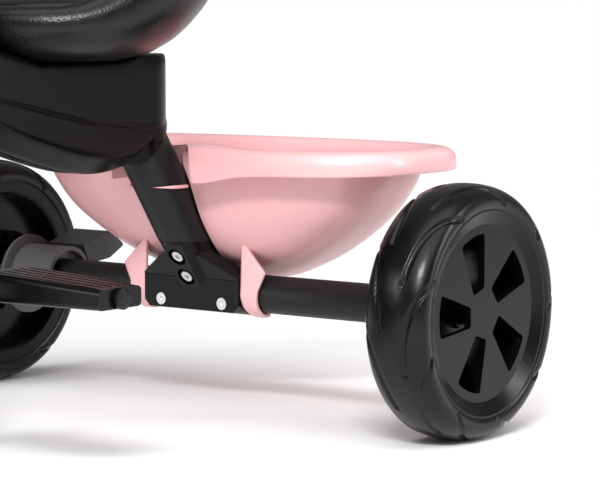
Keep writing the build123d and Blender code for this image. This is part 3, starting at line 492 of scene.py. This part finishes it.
round_tube = np.linspace(0, 2 * pi, 120, endpoint=False)
collar_start, collar_length, collar_slope = 140, 40, 9
collar_rows = []
for along, ring in [(0, 20.4), (-0.6, 22.5), (0.2, 24.4), (2, 25.2), (12, 26), (collar_length, 26),
                    (collar_length, 20.4)]:
    up_tube = collar_start + along + collar_slope * (1 - np.cos(round_tube)) * (along < collar_length)
    y_ring = tube_back / cos(lean) - up_tube * sin(lean) - ring * cos(lean) * np.cos(round_tube)
    z_ring = rear_axle[1] + up_tube * cos(lean) - ring * sin(lean) * np.cos(round_tube)
    collar_rows.append(np.column_stack([ring * np.sin(round_tube), rear_axle[0] + y_ring, z_ring]))
solid("casing_collar", np.stack(collar_rows), black_casing, "frame")

# ---- seat pan ---------------------------------------------------------------------------------
# A deep blow-moulded bucket with a fat rolled edge, low in front and rising to a back rest.  Its
# skin has a fine pebbled leather grain.
seat_black = Finish("pebbled_seat_skin", (0.0025, 0.0025, 0.0026), Specular_IOR_Level=0.32)
pebbles = seat_black.node("ShaderNodeTexVoronoi", {"feature": "SMOOTH_F1"},
                          {"Vector": seat_black.place, "Scale": 620.0, "Smoothness": 0.6}, "Distance")
seat_black.rough(0.24 + 0.14 * seat_black.noise(80, 3.0))
seat_black.relief(1 - pebbles, 0.16)
seat_y = rear_axle[0] - 178.0
# Height, half width and half length of the profile in front, then the same at the back.
bucket_profile = [(279.5, 0.5, 0.5, 279.5, 0.5, 0.5), (279.5, 20, 18, 279.5, 20, 18),
                  (279.6, 40, 37, 279.6, 40, 37), (282, 64, 60, 284, 69, 64), (286.5, 80, 75, 290, 82, 76),
                  (294, 91, 86, 297, 93, 87), (302, 96.5, 91, 310, 107, 100), (310, 97, 91, 325, 119, 111),
                  (316, 93.5, 87.5, 345, 129, 120), (319, 88, 82, 368, 132, 124),
                  (319, 83, 77, 388, 129, 121), (315.5, 79, 73, 394, 122, 115),
                  (309, 78, 72, 389, 115, 108), (303, 77, 71, 362, 112, 105), (298, 72, 66, 334, 106, 98),
                  (293, 60, 55, 308, 88, 80), (290, 44, 40, 294, 56, 52), (288.5, 25, 22, 288.5, 25, 22),
                  (288.5, 0.5, 0.5, 288.5, 0.5, 0.5)]


climb_start, climb_span = 0.78, 1.6  # in the cosine of the angle from straight ahead


def bucket(profile, angles):
    """Level ovals whose size and height slide from the front's to the back's by 3s^2 - 2s^3, so that
    the fat edge is low in front and climbs round the sides to a back rest."""
    rows = []
    for z0, w0, d0, z1, w1, d1 in smooth_line(profile, 4):
        share = np.clip((climb_start - np.cos(angles)) / climb_span, 0, 1)
        back = share * share * (3 - 2 * share)
        width, length = w0 + (w1 - w0) * back, d0 + (d1 - d0) * back
        rows.append(np.column_stack([width * np.sin(angles), seat_y - length * np.cos(angles),
                                     z0 + (z1 - z0) * back]))
    return np.stack(rows)


round_seat = np.linspace(0, 2 * pi, 240, endpoint=False)
pan = bucket(bucket_profile, round_seat)
pan_piece = solid("seat_bucket", pan, seat_black, "frame", (False, True))
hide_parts("seat_pan")

# ---- seat cushion -----------------------------------------------------------------------------
# A loose foam pad in the same pebbled skin, laid in the bucket.  It is drawn slightly small and then
# blown up as cloth.
pad_back = 4  # of the pad's centre behind the bucket's
pad_voxel, pad_cap = 5.0, 4.0


def swell(piece, voxel, cap):
    """Blow a closed piece up as cloth: an even mesh of so many millimetres, twenty steps of pressure
    without gravity, no point moved past the cap, then one subdivision."""
    even = piece.modifiers.new("even", "REMESH")
    even.mode, even.voxel_size, even.use_smooth_shade = "VOXEL", voxel * 0.001, True
    bake(piece)
    start = np.empty(3 * len(piece.data.vertices), np.float32)
    piece.data.vertices.foreach_get("co", start)
    cloth = piece.modifiers.new("cloth", "CLOTH")
    cloth.settings.use_pressure, cloth.settings.uniform_pressure_force = True, 4.0
    cloth.settings.effector_weights.gravity = 0.0
    for step in range(1, 21):
        bpy.context.scene.frame_set(step)
    bake(piece)
    bpy.context.scene.frame_set(1)
    moved = np.empty_like(start)
    piece.data.vertices.foreach_get("co", moved)
    start, moved = start.reshape(-1, 3), moved.reshape(-1, 3)
    shift = moved - start
    length = np.maximum(np.linalg.norm(shift, axis=1, keepdims=True), 1e-9)
    moved = start + shift * np.minimum(1, cap * 0.001 / length)
    piece.data.vertices.foreach_set("co", moved.ravel())
    fine = piece.modifiers.new("fine", "SUBSURF")
    fine.levels = fine.render_levels = 1
    bake(piece)
    piece.data.polygons.foreach_set("use_smooth", [True] * len(piece.data.polygons))


def bake(piece):
    """Replace a piece's mesh by what its modifiers make of it."""
    seen = piece.evaluated_get(bpy.context.evaluated_depsgraph_get())
    data = bpy.data.meshes.new_from_object(seen)
    piece.modifiers.clear()
    piece.data = data


# Height, half width and half length.
cushion_levels = [(293, 0.5, 0.5), (293, 36, 33), (296, 50, 46), (301, 61, 56), (308, 67, 62),
                  (316, 69, 64), (322, 65, 60), (326, 52, 48), (328, 30, 27), (328.5, 0.5, 0.5)]
rows = [np.column_stack([w * np.sin(round_seat), seat_y + pad_back - d * np.cos(round_seat),
                         0 * round_seat + z]) for z, w, d in smooth_line(cushion_levels, 3)]
cushion = solid("seat_pad", np.stack(rows), seat_black, "frame", (False, True))
swell(cushion, pad_voxel, pad_cap)
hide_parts("seat_cushion")

# ---- grips ------------------------------------------------------------------------------------
# Soft ribbed rubber, moulded as a sleeve and pushed over the handlebar's ends.  It is matt, a shade
# lighter than the tube.
grip_rubber = Finish("grip_rubber", (0.02, 0.02, 0.02))
grip_rubber.rough(0.55 + 0.15 * grip_rubber.noise(200))
grip_rubber.relief(grip_rubber.noise(900), 0.06)
dress(grip_rubber, "grip_left", "grip_right")

# ---- parking brake ----------------------------------------------------------------------------
# Grey sleeve that turns on the axle tube beside the right wheel, with a darker ribbed foot lever
# moulded on to it.
grey_plastic = Finish("grey_plastic", (0.11, 0.11, 0.115))
grey_plastic.rough(0.38 + 0.1 * grey_plastic.noise(120))
grey_plastic.relief(grey_plastic.noise(1400), 0.03)
dress(grey_plastic, "brake_sleeve")
dark_grey_plastic = Finish("dark_grey_plastic", (0.035, 0.035, 0.037))
dark_grey_plastic.rough(0.42 + 0.1 * dark_grey_plastic.noise(120))
dark_grey_plastic.relief(dark_grey_plastic.noise(1400), 0.03)
dress(dark_grey_plastic, "brake_pedal")

# ---- floor, light and camera --------------------------------------------------------------------
# White paper floor that fades into a white room, a wide soft sun overhead and three narrow soft
# boxes for the highlights on the black pieces.
paper = Finish("white_paper", (0.93, 0.93, 0.93), Roughness=0.9, Specular_IOR_Level=0.0,
               Emission_Strength=1.0)
distance = paper.node("ShaderNodeVectorMath", {"operation": "LENGTH"}, {0: paper.place}, "Value")
far = paper.node("ShaderNodeMapRange", {"interpolation_type": "SMOOTHSTEP"},
                 {"Value": distance, "From Min": 0.6, "From Max": 2.2}, "Result")
paper.tint(far, (0.93, 0.93, 0.93), (0, 0, 0))
paper.feed(paper.shader.inputs["Emission Color"], paper.node(
    "ShaderNodeMix", {"data_type": "RGBA"}, {0: far, 6: (0, 0, 0, 1), 7: (1, 1, 1, 1)}, 2))
floor_mesh = bpy.data.meshes.new("floor")
reach = 40.0
floor_mesh.from_pydata([(-reach, -reach, 0), (reach, -reach, 0), (reach, reach, 0), (-reach, reach, 0)], [],
                       [(0, 1, 2, 3)])
floor_mesh.materials.append(paper.material)
floor = bpy.data.objects.new("floor", floor_mesh)
bpy.context.scene.collection.objects.link(floor)


def soft_box(name, size, place, towards, power):
    """A rectangular area light, aimed at a point."""
    light = bpy.data.lights.new(name, "AREA")
    light.shape = "RECTANGLE"
    light.size, light.size_y = size
    light.energy = power
    lamp = bpy.data.objects.new(name, light)
    bpy.context.scene.collection.objects.link(lamp)
    lamp.location = place
    aim = lamp.location - Vector(towards)
    lamp.rotation_mode = "QUATERNION"
    lamp.rotation_quaternion = aim.to_track_quat("Z", "Y")


soft_box("top_box", (0.5, 0.14), (0.95, -1.1, 1.15), (0, 0.02, 0.3), 22)
soft_box("left_box", (0.3, 1.0), (1.6, 1.0, 0.7), (0.1, 0.2, 0.2), 10)
soft_box("front_box", (0.3, 1.0), (-0.9, -1.8, 0.8), (0, 0.1, 0.2), 10)
sky = bpy.data.lights.new("even_sky", "SUN")
sky.energy = 2.55
sky.angle = radians(80)
sky_lamp = bpy.data.objects.new("even_sky", sky)
bpy.context.scene.collection.objects.link(sky_lamp)
sky_lamp.rotation_euler = (radians(22), radians(20), 0)

world = bpy.data.worlds.new("white_room")
bpy.context.scene.world = world
world.use_nodes = True
nodes, links = world.node_tree.nodes, world.node_tree.links
nodes.clear()
seen = nodes.new("ShaderNodeBackground")
seen.inputs["Strength"].default_value = 1.0
cast = nodes.new("ShaderNodeBackground")
cast.inputs["Strength"].default_value = 0.28
for background in (seen, cast):
    background.inputs["Color"].default_value = (1, 1, 1, 1)
path = nodes.new("ShaderNodeLightPath")
either = nodes.new("ShaderNodeMixShader")
output = nodes.new("ShaderNodeOutputWorld")
links.new(path.outputs["Is Camera Ray"], either.inputs[0])
links.new(cast.outputs[0], either.inputs[1])
links.new(seen.outputs[0], either.inputs[2])
links.new(either.outputs[0], output.inputs["Surface"])
bpy.context.scene.view_settings.view_transform = "Standard"

lens = bpy.data.cameras.new("camera")
lens.lens = 144.96
lens.sensor_width = 36.0
camera = bpy.data.objects.new("camera", lens)
bpy.context.scene.collection.objects.link(camera)
camera.location = (1.2173, -1.2860, 0.3149)
camera.rotation_euler = (radians(90 - 5.62), 0, radians(37.13))
bpy.context.scene.camera = camera
